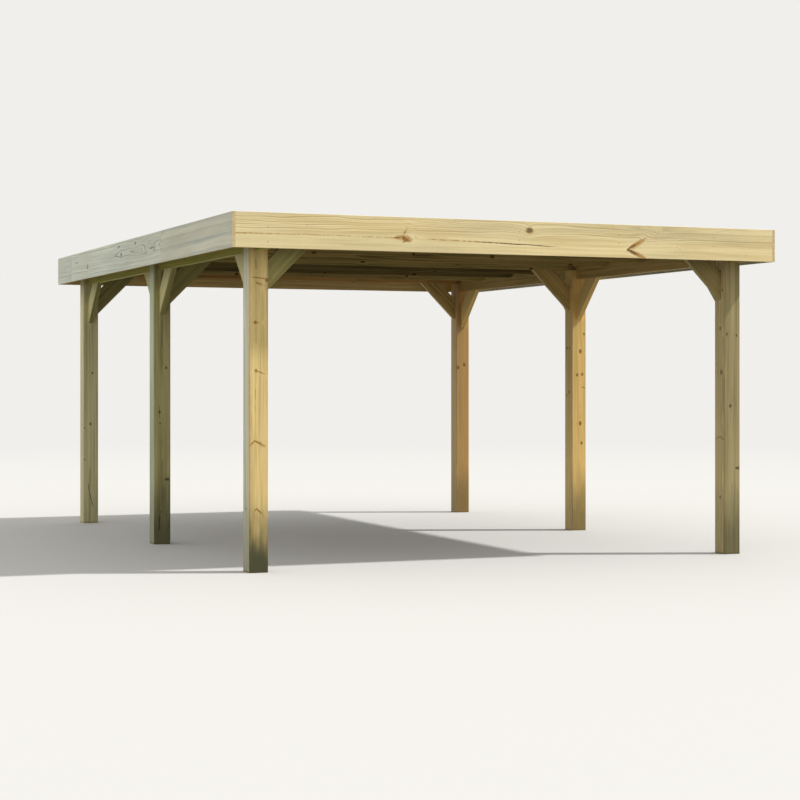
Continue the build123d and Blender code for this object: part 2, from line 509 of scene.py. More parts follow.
def timber_finish(tree, given):
    streak = (given["Streak"] - 0.5) * given["Streaky"]
    tint = (given["Fine"] - 0.5) * 0.16 + (given["Broad"] - 0.5) * 0.6 + (given["Year"] - 0.5) * 0.12 + 1.0
    shade = joined(tree, tint, tint, tint)
    colour = mix(tree, given["Late Wood"] * 0.9 + streak, given["Early Colour"], given["Late Colour"])
    colour = mix(tree, 1.0, colour, shade, "MULTIPLY")
    patchy = smooth(given["Broad"] * 0.5 + given["Streak"] * 0.5, 0.47, 0.6)
    halo = mix(tree, given["Dark"] * 0.8 + 0.2, given["Resin Colour"], given["Rim Colour"])
    heart = mix(tree, given["Dark"] * 0.8 + given["Fine"] * 0.3, given["Knot Colour"], given["Rim Colour"])
    # The side layer: silvering and painted side light, with its own late-wood lines and grey knots.
    silver_and_side_light_lines = given["Late Wood"] * 0.9 + streak * 0.6
    silver = mix(tree, silver_and_side_light_lines, given["Weather Colour"], given["Silver Lines"])
    silver = mix(tree, 1.0, silver, shade, "MULTIPLY")
    silver = mix(tree, given["Core"] * 0.7 + given["Rim"] * 0.4, silver, given["Grey Knots"])
    x, _, _ = parts(given["Facing"])
    end_grain = smooth(x.math("ABSOLUTE", x), 0.8, 0.95)
    # Painted shade: a dark line near the ends of a board's faces, where it butts against the next board.
    joint = given["End"] * (1.0 - end_grain) * 0.4
    layers = [  # how much of each shows where its mask is 1, from the first laid to the last
        (patchy * given["Treated"], given["Treated Colour"]),
        (given["Resin"] * 0.6, given["Resin Colour"]),
        (given["Specks"] * given["Speckled"], given["Knot Colour"]),
        (given["Rim"] * 0.7, halo),
        (given["Core"] * 0.95, heart),
        (end_grain * 0.25, given["Late Colour"]),
        # weathering and painted side light on the faces turned to the left
        (given["Weather"], silver),
        # pale worn arrises, and on the joists a dark arris colour that paints shade
        (given["Arris"] * 0.45, given["Arris Colour"]),
        # darker towards the foot of a post, in blotches and streaks
        (given["Splashed"] * (1.0 - given["Weather"] * 0.7), given["Splash Colour"]),
        # painted shade where boards butt, and the real drying cracks
        (joint.at_least(given["Crack"] * 0.85), given["Rim Colour"]),
    ]
    for amount, over in layers:
        colour = mix(tree, amount, colour, over)
    height = given["Late Wood"] * 0.3 + given["Fine"] * 0.5 + given["Core"] * 0.4 - given["Crack"] * 2.5
    rough = given["Fine"] * 0.12 + 0.62 - given["Core"] * 0.12 - given["Late Wood"] * 0.06
    return {"Colour": colour, "Roughness": rough, "Height": height}


MASKS = ("Late Wood", *KNOT_MASKS, "Resin", "Crack", "Arris", "End", "Specks", "Weather", "Splashed")
FINISH = effect(
    "Timber finish",
    {
        **wood(early=(232, 213, 162), late=(186, 156, 98), treated=(190, 186, 138), arris=(226, 202, 152)),
        **wood(knot=(160, 106, 50), rim=(72, 50, 26), resin=(182, 128, 52), splash=(78, 78, 52)),
        **wood(weather=(214, 222, 194), lines=(138, 142, 116), grey=(92, 90, 72)),
        **wood(green=0.35, streaky=1.1, speckled=0.0),
        **{label: 0.5 for label in ("Year", "Fine", "Streak", "Broad")},
        **{mask: 0.0 for mask in MASKS},
        "Facing": (0, 1, 0),
    },
    timber_finish,
)


# %% Effects: weathering with painted side light, and the darker foot
# Partly weathering, partly painted light: cool sky light and ground bounce on faces turned towards Toward.
def painted_side_light_and_weathering(tree, given):
    facing = coordinate(tree, "Normal").dot(given["Toward"])
    patches = noise(coordinate(tree, "Object") * (1.5, 1.5, 1.5)) * 0.5 + 0.75
    return {"Mask": smooth(facing, 0.5, 0.9) * patches * given["Amount"]}


# Darker towards the bottom, in blotches and streaks that fade out at Reach above the ground.
def darker_foot(tree, given):
    place = coordinate(tree, "Object")
    _, _, height = parts(place)
    blotch = (noise(place * (12, 12, 3)) - 0.5) * 0.7
    streaks = (noise(place * (80, 80, 5)) - 0.5) * 0.3
    uneven = height + (blotch + streaks) * given["Reach"]
    return {"Mask": (1.0 - smooth(uneven, given["Reach"] * 0.15, given["Reach"])) * given["Amount"]}


SIDE_LIGHT_AND_WEATHER = effect("Weathered side", {"Toward": (-1, 0, 0), "Amount": 0.6}, painted_side_light_and_weathering)
DARKER_FOOT = effect("Splashed foot", {"Reach": 0.62, "Amount": 1.0}, darker_foot)


# %% Effect: the nearest board of a row
def board_of_row(tree, given):
    offset = coordinate(tree, "Object") - given["First"]
    pitch = given["Pitch"]
    steps = offset.dot(pitch) / pitch.dot(pitch)
    number = steps.math("ROUND", steps)
    return {"Middle": pitch * joined(tree, number, number, number) + given["First"], "Number": number}


ROW = effect("Board of a row", {"First": (0, 0, 0), "Pitch": (1, 0, 0)}, board_of_row)


# %% [markdown]
# ## Knots and cracks where they really are
#
# Random knots would do for a timber seen from afar. The eye knows this front board by its one round knot,
# though, so the marks that show are placed one by one, in metres, on the face where they are. Each point
# takes its depth from the timber's own box, so a mark can't float off the wood.

# %% Marks on the face of a timber
Branch = namedtuple("Branch", "place heading size stretch root darkness", defaults=(1.3, 0.08, 0.6))
Streak = namedtuple("Streak", "start finish width gaps", defaults=(0.4,))
Swerve = namedtuple("Swerve", "place length height push")
FRONT, REAR, LEFT, RIGHT = (Vector(way) for way in ((0, -1, 0), (0, 1, 0), (-1, 0, 0), (1, 0, 0)))


def on_face(node, face, across, height):
    """A point on an upright face of a node; across is its x, or its y on a left or right face."""
    low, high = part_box(node)
    corner = low if face in (FRONT, LEFT) else high
    return Vector((across, corner.y, height) if face in (FRONT, REAR) else (corner.x, across, height))


def knot_on(node, face, across, height, *shape):
    """A branch that comes straight out of a face: its radius, and how long the oval is."""
    return Branch(on_face(node, face, across, height), face, *shape)


def spike_on(node, face, tip, end, size, darkness=0.2):
    """A branch that comes up through a face at a slant, which the saw opens as a leaf from tip to end."""
    finish = on_face(node, face, *end) + face * size * 1.2
    run = finish - on_face(node, face, *tip) + face * size * 0.35
    return Branch(finish, run.normalized(), size, 1.0, run.length * 1.4, darkness)


def swerve_on(node, face, across, height, *reach_and_push):
    """A place on a face where the grain is pushed, with the length and height over which that fades."""
    return Swerve(on_face(node, face, across, height), *reach_and_push)


def streak_on(node, face, start, finish, *width_and_gaps):
    """A crack or a thread of resin between two points of a face."""
    return Streak(on_face(node, face, *start), on_face(node, face, *finish), *width_and_gaps)


def marks_on(node, face, make, *marks):
    """Several marks of one kind on a face, each as the numbers that its function takes."""
    return [make(node, face, *mark) for mark in marks]


print("the front board's outer face is at y =", round(on_face("front_fascia", FRONT, 0, 0).y, 3))


# %% [markdown]
# ## One timber, one material
#
# Sharing one material between all posts would repeat the same knots at the same height, and the eye finds
# that at once. A function makes each timber its own material from the shared effects: it reads the middle
# and size of its piece from the frame, and takes the pith, the knots and the cracks of that one timber.

# %% Tones of the timber
# Side colours are partly weathering, partly painted light: cool sky in grey tones, ground bounce in yellow.
TONES = {
    "pale": wood(
        early=(243, 224, 170), late=(130, 97, 46), treated=(224, 196, 128), resin=(190, 136, 58),
        streaky=0.8, speckled=0.35,
    ),
    "silver": wood(weather=(227, 232, 215), lines=(112, 114, 100), green=0.5),
    "banded": wood(weather=(221, 220, 199), lines=(158, 172, 166), green=0.5),
    "gold": wood(
        early=(240, 211, 142), late=(188, 144, 76), treated=(202, 184, 120), arris=(202, 138, 56),
        knot=(182, 120, 46), rim=(96, 62, 28), weather=(230, 236, 212), lines=(154, 156, 132), green=0.45,
        streaky=1.9,
    ),
    # On the braces along the right beam, this tone is painted light bounced up from the ground.
    "honey": wood(
        early=(255, 214, 130), late=(200, 152, 80), treated=(206, 176, 106), knot=(166, 106, 50),
        rim=(104, 68, 34), weather=(255, 226, 150), lines=(224, 178, 100), grey=(150, 100, 54),
    ),
    "amber": wood(
        early=(214, 170, 104), late=(160, 118, 64), treated=(188, 144, 86), knot=(118, 70, 36),
        rim=(76, 46, 26), weather=(216, 192, 140), lines=(168, 136, 92), grey=(120, 88, 54),
    ),
    # Olive, on the middle left post, is darker and greener than gold: partly its own colour, partly painted
    # shade.
    "olive": wood(
        early=(190, 180, 122), late=(106, 94, 54), treated=(140, 142, 92), arris=(186, 172, 118),
        knot=(96, 80, 46), rim=(52, 46, 28), resin=(140, 122, 70), green=0.5, streaky=2.0,
    ),
    "ash": wood(
        early=(222, 212, 160), late=(136, 124, 84), treated=(174, 168, 120), arris=(204, 194, 144),
        knot=(104, 88, 54), rim=(66, 56, 34), resin=(176, 160, 104), weather=(234, 222, 176),
        lines=(166, 150, 106), streaky=1.7,
    ),
    # Moss, on the front right post, is darker and greener: partly its own colour, partly painted tree shade.
    "moss": wood(
        early=(180, 164, 116), late=(106, 92, 56), treated=(144, 136, 92), arris=(150, 134, 84),
        knot=(92, 74, 44), rim=(60, 50, 30), resin=(140, 118, 70), weather=(244, 220, 158),
        lines=(150, 134, 92), grey=(116, 70, 38), green=0.6, streaky=1.8,
    ),
    # Straw, on the left braces and the blocks, is darker than the posts: partly painted shade of the roof.
    "straw": wood(
        early=(176, 166, 104), late=(112, 98, 54), treated=(140, 140, 84), arris=(170, 146, 98),
        weather=(238, 230, 170), lines=(170, 158, 104),
    ),
    # Umber, on the front right braces, is darker still: painted shade.
    "umber": wood(
        early=(160, 140, 88), late=(116, 94, 52), treated=(124, 120, 70), arris=(156, 132, 84),
        weather=(236, 222, 160), lines=(184, 164, 108),
    ),
    # Brown, the joists' tone: darker than the posts, partly painted roof shade; its dark arris colour paints
    # shade.
    "brown": wood(
        early=(196, 172, 108), late=(96, 76, 38), treated=(128, 124, 70), arris=(92, 74, 40),
        knot=(112, 76, 40), rim=(70, 50, 28), streaky=2.2,
    ),
    "rust": wood(
        early=(214, 184, 112), late=(126, 98, 49), treated=(172, 150, 86), arris=(120, 92, 52),
        knot=(90, 58, 30), rim=(52, 32, 18), weather=(240, 216, 158), lines=(186, 156, 104), streaky=2.0,
    ),
    # A darker copy of the brown for two of the joists: painted deep shade.
    "bark": wood(
        early=(142, 126, 80), late=(78, 64, 36), treated=(98, 94, 56), arris=(96, 78, 44),
        knot=(84, 56, 30), rim=(52, 36, 20), streaky=2.0,
    ),
    "shaded": wood(early=(112, 92, 58), late=(78, 60, 34), treated=(88, 78, 48), arris=(84, 68, 42)),
    # The left beam: the green of its treatment, made paler and greener as painted light bounced up from
    # grass.
    "verdigris": wood(
        early=(196, 186, 92), late=(150, 142, 58), treated=(168, 172, 72), arris=(190, 182, 100), green=0.7,
    ),
}
print("tones:", ", ".join(TONES))

# %% Grain directions, and the marks of one timber
ALONG_X = (0, 0, 0)
ALONG_Y = (0, 0, math.pi / 2)
ALONG_Z = (0, -math.pi / 2, 0)
KNOT_EDGE_WAVES = 95.0  # per metre, on the outline of a knot
ROW_SEED_STEP = 3.1


def back_from(turn):
    """The rotation from the frame's axes into those of a timber with this turn."""
    return Euler(turn, "XYZ").to_matrix().transposed()


def inputs_of(marks, middle, turn):
    """Each mark's fields as inputs of its group, with places and headings in the timber's own axes."""
    found = [{field.title(): value for field, value in mark._asdict().items()} for mark in marks]
    for values in found:
        for label in ("Place", "Start", "Finish"):
            if label in values:
                values[label] = back_from(turn) @ (values[label] - middle)
        if "Heading" in values:
            values["Heading"] = back_from(turn) @ values["Heading"]
    return found


def knots_of(tree, base, rows, branches):
    """All knots of a timber: the random rows first, then the branches placed one by one."""
    found = {"Position": base["Position"], **SO_FAR}
    shared = {"Uneven": noise(base["Position"] * KNOT_EDGE_WAVES)}
    seeds = [base["Seed"] + number * ROW_SEED_STEP for number in range(len(rows))]
    steps = [(KNOT_ROW, {"Pith": base["Pith"], "Seed": seed, **row}) for seed, row in zip(seeds, rows)]
    for group, values in steps + [(KNOT, branch) for branch in branches]:
        made = use(tree, group, {**values, **shared, **found})
        found = {"Position": made["Position"], **{f"{mask} So Far": made[mask] for mask in KNOT_MASKS}}
    return found["Position"], {mask: found[f"{mask} So Far"] for mask in KNOT_MASKS}


def streaks_of(tree, position, streaks):
    """The mask of all cracks, or of all threads of resin, of a timber."""
    mask = 0.0
    for streak in streaks:
        mask = use(tree, LINE, {**streak, "Position": position, "Mask So Far": mask})["Mask"]
    return mask


print("knots of one timber share an outline with", KNOT_EDGE_WAVES, "waves in a metre")

# %% The timber function
RING_CHOICES = {
    "width": "Ring Width", "meander": "Meander", "ripple": "Ripple", "late": "Late From", "even": "Even",
}
KINDS_OF_MARKS = ("knots", "swerves", "cracks", "resin")
BOARD_SEED_STEP = 1.7


def timber(title, middle, half, turn, tone, pith, seed, pitch=None, **choices):
    """A material for one timber, or for a row at a pitch; its marks are in the frame's own coordinates."""
    made, tree, shader = new_material(title)
    marks = {kind: inputs_of(choices.get(kind, ()), middle, turn) for kind in KINDS_OF_MARKS}
    if pitch:
        row = use(tree, ROW, {"First": middle, "Pitch": pitch})
        middle, seed = row["Middle"], row["Number"] * BOARD_SEED_STEP + seed
    place = use(tree, POSITION, {"Middle": middle, "Turn": turn})
    position = place["Position"]
    base = {"Position": position, "Pith": pith, "Seed": seed}
    grain, masks = knots_of(tree, base, choices.get("rows", ()), marks["knots"])
    for swerve in marks["swerves"]:
        grain = use(tree, SWERVE, {**swerve, "Position": grain})["Position"]
    values = {label: choices[word] for word, label in RING_CHOICES.items() if word in choices}
    if "lined" in choices:
        values["Plain Below"], values["Lined Above"] = choices["lined"]
    rings = use(tree, RINGS, {**base, **values, "Position": grain})
    fibre = use(tree, FIBRES, {"Position": grain, "Seed": seed})
    values = {"Reach": choices["worn"]} if "worn" in choices else {}
    edges = use(tree, ARRIS_WEAR_AND_SHADE, {**values, "Position": position, "Half Size": half, "Seed": seed})
    values = {**rings, **fibre, **edges, **masks, "Facing": place["Facing"]}
    values["Crack"] = streaks_of(tree, position, marks["cracks"])
    values["Resin"] = streaks_of(tree, position, marks["resin"])
    for word, label, group in (("weather", "Weather", SIDE_LIGHT_AND_WEATHER), ("splashed", "Splashed", DARKER_FOOT)):
        if word in choices:
            values[label] = use(tree, group, {"Amount": choices[word]})["Mask"]
    finish = use(tree, FINISH, {**values, **TONES[tone]})
    feed(shader.inputs["Base Color"], finish["Colour"])
    feed(shader.inputs["Roughness"], finish["Roughness"])
    shader.inputs["Specular IOR Level"].default_value = choices.get("gloss", 0.25)
    emboss(tree, shader, finish["Height"], strength=0.5, distance=0.0015)
    return made


def dress(node, turn, middle=None, half=None, **choices):
    """Gives one CAD timber its own material, cut from the middle of its box unless another is given."""
    low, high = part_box(node)
    half = half or tuple(abs(value) / 2 for value in back_from(turn) @ (high - low))
    material = timber(node.replace("_", " "), middle or (low + high) / 2, half, turn, **choices)
    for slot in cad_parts[node].material_slots:
        slot.material = material


print("grain runs along x, y or z, or along a brace")


# %% [markdown]
# ## Fascia boards
#
# The fascia is a frame of planed boards on edge that hides the ends of the timbers and sheds the rain.
# The front board is a flat-sawn one: its lines crowd together in the upper third and open out below,
# because its pith lay behind the lower half. So the pith is put there, and the saw does the rest. Its
# knots and resin are placed one by one, and its specks come from a noise.

# %% Dress the front board
board = "front_fascia"
knots = marks_on(
    board, FRONT, knot_on,
    (0.078, 2.384, 0.019, 1.35, 0.08, 1.0), (-0.89, 2.304, 0.010), (-0.889, 2.283, 0.006),
)
knots += marks_on(
    board, FRONT, spike_on,
    ((-0.968, 2.303), (-0.90, 2.306), 0.009, 0.3),
    ((-0.905, 2.302), (-0.868, 2.296), 0.009, 0.4),
    ((-0.895, 2.308), (-0.872, 2.356), 0.008, 0.3),
    ((0.865, 2.272), (1.000, 2.214), 0.020, 0.85),
    ((0.872, 2.266), (0.985, 2.336), 0.019, 0.7),
)
resin = marks_on(
    board, FRONT, streak_on,
    ((-2.30, 2.304), (-1.3, 2.308), 0.0075, 0.25),
    ((-1.5, 2.307), (-0.7, 2.301), 0.006, 0.34),
    ((-0.776, 2.302), (0.1, 2.282), 0.0075, 0.25),
    ((-0.96, 2.303), (-0.84, 2.306), 0.030, 0.0),
    ((0.89, 2.272), (1.02, 2.350), 0.026, 0.1),
    ((0.87, 2.27), (1.03, 2.205), 0.022, 0.1),
)
cracks = marks_on(
    board, FRONT, streak_on,
    ((-2.30, 2.304), (-1.6, 2.308), 0.0013),
    ((-0.776, 2.302), (-0.2, 2.29), 0.0026),
    ((-0.4, 2.294), (0.335, 2.272), 0.0055, 0.1),
)
swerves = marks_on(
    board, FRONT, swerve_on,
    (0.078, 2.40, 0.08, 0.05, (0, 0, 0.04)),
    (-0.533, 2.425, 0.06, 0.03, (0, 0, 0.026)),
    (2.4, 2.410, 1.6, 0.022, (0, 0, 0.065)),
)
marks = {"knots": knots, "resin": resin, "cracks": cracks, "swerves": swerves}
grain = {"pith": (0, 0.05, -0.08), "width": 0.012, "ripple": 0.03, "lined": (-0.03, 0.03), "even": 0.75}
dress(board, ALONG_X, tone="pale", seed=3.0, **grain, **marks)
print("front board:", len(knots), "knots")

# %% Dress the side boards and the rear board
LINED = {"width": 0.017, "late": 0.7, "ripple": 0.03, "meander": 0.09, "even": 0.8}
BANDED = {"width": 0.06, "late": 0.45, "ripple": 0.02, "even": 0.6}
left_knots = marks_on(
    "left_fascia", LEFT, knot_on,
    (-0.136, 2.406, 0.013, 1.3), (-0.645, 2.336, 0.007, 9.0), (0.320, 2.340, 0.016, 1.7),
    (0.400, 2.407, 0.009, 3.0), (1.522, 2.308, 0.018, 1.1),
)
left_swerve = swerve_on("left_fascia", LEFT, -0.58, 2.345, 0.3, 0.055, (0, 0.11, 0))
left_marks = {"knots": left_knots, "swerves": [left_swerve]}
SIDE_BOARDS = {
    "left_fascia_front": {"tone": "banded", "pith": (0, 0.25, -0.3), **BANDED},
    "left_fascia": {"pith": (0, 0.045, 0.03), **left_marks, **LINED},
    "left_fascia_end": {"pith": (0, 0.05, 0.0), "width": 0.014},
    "right_fascia_front": {"pith": (0, -0.05, -0.05), "width": 0.013},
    "right_fascia": {"pith": (0, -0.05, 0.02), "rows": [{"Spacing": 0.7, "Largest": 0.02}]},
    "right_fascia_end": {"pith": (0, -0.05, -0.04), "width": 0.014},
}
# Faces turned to the left take the side layer: silvering, and painted cool sky light of the shaded side.
for number, (node, choices) in enumerate(SIDE_BOARDS.items()):
    dress(node, ALONG_Y, **{"tone": "silver", "seed": 11.0 + number * 2.3, "weather": 0.9, **choices})
choices = {"pith": (0, -0.05, 0.03), "width": 0.013, "rows": [{"Spacing": 0.8, "Largest": 0.02}]}
dress("rear_fascia", ALONG_X, tone="gold", seed=29.0, **choices)
print("side boards:", ", ".join(SIDE_BOARDS))


# %% [markdown]
# ## Posts
#
# The posts are square timbers cut round or near the pith, so their lines run straight up, with long
# pointed arches where a face passes close to it. One pattern for all six would do from afar, but side by
# side they would look stamped. So each post has its own tone and pith, with its knots, slanting spikes
# and drying cracks placed on the two faces that show, and random knots on the others.

# %% Marks on the posts
def post_marks(node, front, left=(), spikes=(), left_spikes=(), cracks=()):
    """The knots, spikes and cracks of one post, on its front and left faces."""
    knots = marks_on(node, FRONT, knot_on, *front) + marks_on(node, LEFT, knot_on, *left)
    knots += marks_on(node, FRONT, spike_on, *spikes) + marks_on(node, LEFT, spike_on, *left_spikes)
    return {"knots": knots, "cracks": marks_on(node, FRONT, streak_on, *cracks)}


POSTS = {
    "left_front_post": {
        "front": [
            (-1.900, 1.381, 0.008), (-1.904, 1.712, 0.008), (-1.825, 2.002, 0.009), (-1.888, 0.028, 0.006),
        ],
        "left": [(-2.463, 0.436, 0.008)],
        "spikes": [
            ((-1.894, 0.440), (-1.914, 0.422), 0.007),
            ((-1.896, 0.440), (-1.856, 0.402), 0.010),
            ((-1.906, 0.905), (-1.944, 0.872), 0.009),
            ((-1.912, 0.905), (-1.840, 0.867), 0.012),
            ((-1.900, 1.381), (-1.842, 1.360), 0.007),
            ((-1.920, 1.712), (-1.885, 1.712), 0.005),
            ((-1.905, 1.984), (-1.862, 1.972), 0.010),
            ((-1.932, 2.022), (-1.830, 2.012), 0.007, 0.6),
        ],
        "cracks": [
            ((-1.904, 2.17), (-1.898, 2.03), 0.0035, 0.3),
            ((-1.902, 1.70), (-1.897, 1.55), 0.0018, 0.3),
            ((-1.902, 1.30), (-1.906, 1.08), 0.0024, 0.3),
        ],
    },
    "left_middle_post": {
        "front": [
            (-1.904, 1.063, 0.009), (-1.848, 1.417, 0.008), (-1.899, 0.971, 0.006), (-1.893, 0.262, 0.006),
        ],
        "cracks": [
            ((-1.906, 1.13), (-1.903, 1.00), 0.004, 0.2), ((-1.902, 0.235), (-1.908, 0.10), 0.012, 0.1),
        ],
    },
    "left_rear_post": {
        "front": [
            (-1.885, 0.915, 0.010), (-1.940, 0.878, 0.006), (-1.940, 0.586, 0.007), (-1.868, 1.385, 0.008),
        ],
        "cracks": [
            ((-1.907, 0.37), (-1.893, 0.27), 0.006, 0.1), ((-1.896, 0.30), (-1.859, 0.14), 0.007, 0.1),
        ],
    },
    "right_front_post": {
        "front": [(1.864, 1.123, 0.010), (1.836, 1.667, 0.008), (1.920, 1.657, 0.007)],
        "left": [
            (-2.468, 1.712, 0.011), (-2.484, 1.378, 0.014), (-2.466, 2.142, 0.009), (-2.497, 2.0, 0.009),
            (-2.469, 0.429, 0.010),
        ],
        "left_spikes": [((-2.463, 0.892), (-2.423, 0.872), 0.008), ((-2.463, 0.892), (-2.512, 0.870), 0.009)],
    },
    "right_middle_post": {
        "front": [
            (1.893, 1.572, 0.013), (1.861, 1.365, 0.010), (1.910, 1.370, 0.010), (1.892, 0.939, 0.012),
            (1.905, 0.767, 0.009), (1.930, 1.724, 0.008),
        ],
        "left": [(0.069, 1.603, 0.010), (0.020, 1.602, 0.009), (0.031, 1.214, 0.011), (0.069, 1.185, 0.008)],
        "spikes": [((1.905, 1.262), (1.948, 1.246), 0.006)],
        "cracks": [((1.893, 1.127), (1.892, 0.95), 0.0035)],
    },
    "right_rear_post": {
        "front": [(1.827, 1.445, 0.014), (1.894, 1.475, 0.013)],
        "cracks": [((1.864, 1.74), (1.864, 1.67), 0.0035)],
    },
}
print("marks:", {node: sum(map(len, marks.values())) for node, marks in POSTS.items()})

# %% Dress the posts
WAVY = {"ripple": 0.016, "late": 0.2, "even": 0.7}
# Each post's tone: olive on the middle left post and moss on the front right one are partly painted shade.
POST_WOOD = {
    "left_front_post": ("gold", 1.0, (0, 0.03, 0.02), {}),
    "left_middle_post": ("olive", 0.9, (0, -0.060, 0.0), WAVY),
    "left_rear_post": ("ash", 0.25, (0, -0.058, 0.004), WAVY),
    "right_front_post": ("moss", 0.7, (0, -0.056, 0.0), WAVY),
    "right_middle_post": ("honey", 0.7, (0, -0.018, 0.02), {}),
    "right_rear_post": ("amber", 0.5, (0, -0.03, 0.02), {}),
}
UNSEEN_SIDES = {"Toward": -math.pi / 4, "Spread": 2.6, "Spacing": 0.38, "Largest": 0.014}
for number, (node, marks) in enumerate(POSTS.items()):
    tone, splashed, pith, lines = POST_WOOD[node]
    grain = {"pith": pith, "width": 0.0055, "seed": 5.0 + number * 7.3, "rows": [UNSEEN_SIDES], **lines}
    # Faces turned to the left take the side layer: weathering, and painted sky and ground bounce light.
    extras = {"weather": 0.75, "splashed": splashed, "worn": 0.02}
    dress(node, ALONG_Z, tone=tone, **grain, **extras, **post_marks(node, **marks))
print("posts:", {node: choice[0] for node, choice in POST_WOOD.items()})


# %% [markdown]
# ## Beams, joists, blocks and braces
#
# Under the roof the wood is sheltered from the weather. The joists and the deck take darker, browner
# tones than the posts: partly their own colour, partly painted shade of the roof. The left beam's green
# is its treatment with painted light bounced up from grass laid over it. A material could be shared by
# all that is alike, but then each joist would repeat the next. The blocks of a row do share one, which
# finds the nearest block. The braces stand at 45 degrees, so their grain turns with them, about the
# middle of the board that each was cut from.

# %% Dress the beams, joists and blocks
SPARSE_KNOTS = [{"Spacing": 0.55, "Largest": 0.02}]
FRONT_KNOTS = [{"Toward": math.pi, "Spread": 1.6, "Spacing": 0.83, "Largest": 0.02}]
# Two joists take a darker copy of the brown: painted deep shade on them.
JOIST_TONES = ("brown",) * 5 + ("bark", "bark", "brown", "amber")
END_BLOCK_PITCH = 0.8


def middle_of(node):
    """The middle of a node's box."""
    low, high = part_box(node)
    return (low + high) / 2


# The left beam's pale green is partly its treatment, partly painted light bounced up from grass.
for number, (node, tone) in enumerate((("left_beam", "verdigris"), ("right_beam", "rust"))):
    grain = {"pith": (0, 0.02, -0.07), "width": 0.012, "seed": 41.0 + number * 3.7, "rows": SPARSE_KNOTS}
    dress(node, ALONG_Y, tone=tone, **grain)
joists = [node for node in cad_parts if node.startswith("joist")]
for number, (node, tone) in enumerate(zip(joists, JOIST_TONES)):
    grain = {"pith": (0, 0.03, -0.035 - 0.012 * (-1) ** number), "width": 0.009, "seed": 50.0 + number * 4.9}
    dress(node, ALONG_X, tone=tone, rows=FRONT_KNOTS, even=0.6, gloss=0.0, **grain)

JOIST_PITCH = middle_of("joist_2").y - middle_of("joist_1").y
BLOCKS = {"tone": "straw", "pith": (0, 0.04, -0.03), "width": 0.009, "gloss": 0.0}
for side in ("left", "right"):
    first = middle_of(f"{side}_fascia_blocks")
    first.y = middle_of("joist_1").y
    dress(f"{side}_fascia_blocks", ALONG_X, middle=first, seed=71.0, pitch=(0, JOIST_PITCH, 0), **BLOCKS)
for end in ("front", "rear"):
    dress(f"{end}_fascia_blocks", ALONG_Y, seed=77.0, pitch=(END_BLOCK_PITCH, 0, 0), **BLOCKS)
print("joists:", len(joists), "at a pitch of", round(JOIST_PITCH, 3), "m")

# %% Dress the braces
BRACE_WIDTH = 0.145
DOWN = Vector((0, 0, -1))
braces = [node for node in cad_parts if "brace" in node]


def brace_place(node):
    """The corner under the timber above, the way out from the post, and how far the brace reaches."""
    low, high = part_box(node)
    if "cross" in node:
        out = RIGHT if "left" in node else LEFT
    else:
        out = REAR if "rearward" in node else FRONT
    reach = high.z - low.z
    return middle_of(node) - (out + DOWN) * (reach / 2), out, reach


def brace_tone(node):
    """Left braces straw, front right ones umber as painted shade, cross ones browner, and honey along the
    right beam as painted bounce light.
    """
    if "left" in node:
        return "straw"
    # The front right braces' darker umber is painted shade.
    if "front" in node:
        return "umber"
    # Honey along the right beam is painted light bounced up from the ground.
    return "rust" if "cross" in node else "honey"


for number, node in enumerate(braces):
    corner, out, reach = brace_place(node)
    low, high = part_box(node)
    middle = corner + (out + DOWN) * (reach / 2 - BRACE_WIDTH / 2 / math.sqrt(2))
    half = (reach, min(high - low) / 2, BRACE_WIDTH / 2)
    turn = (0, -math.pi / 4 * (out.x + out.y), 0 if "cross" in node else math.pi / 2)
    grain = {"pith": (0, 0.03, 0.03 * (-1) ** number), "width": 0.009, "seed": 90.0 + number * 5.3}
    # Faces turned to the left, brace undersides among them, take painted ground bounce light and weathering.
    dress(node, turn, middle=middle, half=half, tone=brace_tone(node), weather=0.8, **grain)
print("braces:", len(braces), "cut from boards", BRACE_WIDTH, "m wide")


# %% [markdown]
# ## Deck boards
#
# The roof is closed with tongued and grooved boards that lie across the joists. From below one sees their
# soffit: a row of narrow boards with a small V between each two, which keeps a line of shade. A flat
# plate with painted lines would lose that shade, so each board is drawn as its real outline and pushed
# from the front board to the rear one.

# %% Build the deck boards
DECK_BOARDS = 36
BOARD_GAP = 0.001
V_EDGE = 0.003
TONGUE_DEPTH = 0.005
GROOVE_DEPTH = 0.006
TONGUE_FROM, TONGUE_TO = 0.0062, 0.0112
GROOVE_FROM, GROOVE_TO = 0.0055, 0.012

deck_low, deck_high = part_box("roof_deck")
BOARD_PITCH = (deck_high.x - deck_low.x) / DECK_BOARDS


def board_outline(width, thickness, tongued):
    """Cross-section of a board, from its groove on the left to its tongue on the right."""
    outline = [(V_EDGE, 0), (width - V_EDGE, 0), (width, V_EDGE)]
    if tongued:
        tip = width + TONGUE_DEPTH
        outline += [(width, TONGUE_FROM), (tip, TONGUE_FROM), (tip, TONGUE_TO), (width, TONGUE_TO)]
    outline += [(width, thickness), (0, thickness), (0, GROOVE_TO), (GROOVE_DEPTH, GROOVE_TO)]
    return outline + [(GROOVE_DEPTH, GROOVE_FROM), (0, GROOVE_FROM), (0, V_EDGE)]


def skin(shape, rings, closed=True):
    """Joins each ring of points to the next, and closes the first and the last with a face."""
    if closed:
        shape.faces.new(rings[0])
        shape.faces.new(rings[-1])
    for inner, outer in zip(rings, rings[1:]):
        for step in range(len(inner)):
            shape.faces.new((inner[step - 1], inner[step], outer[step], outer[step - 1]))


def as_object(name, shape):
    """Turns a bmesh into an object of the scene."""
    mesh = bpy.data.meshes.new(name)
    shape.to_mesh(mesh)
    shape.free()
    made = bpy.data.objects.new(name, mesh)
    bpy.context.scene.collection.objects.link(made)
    return made


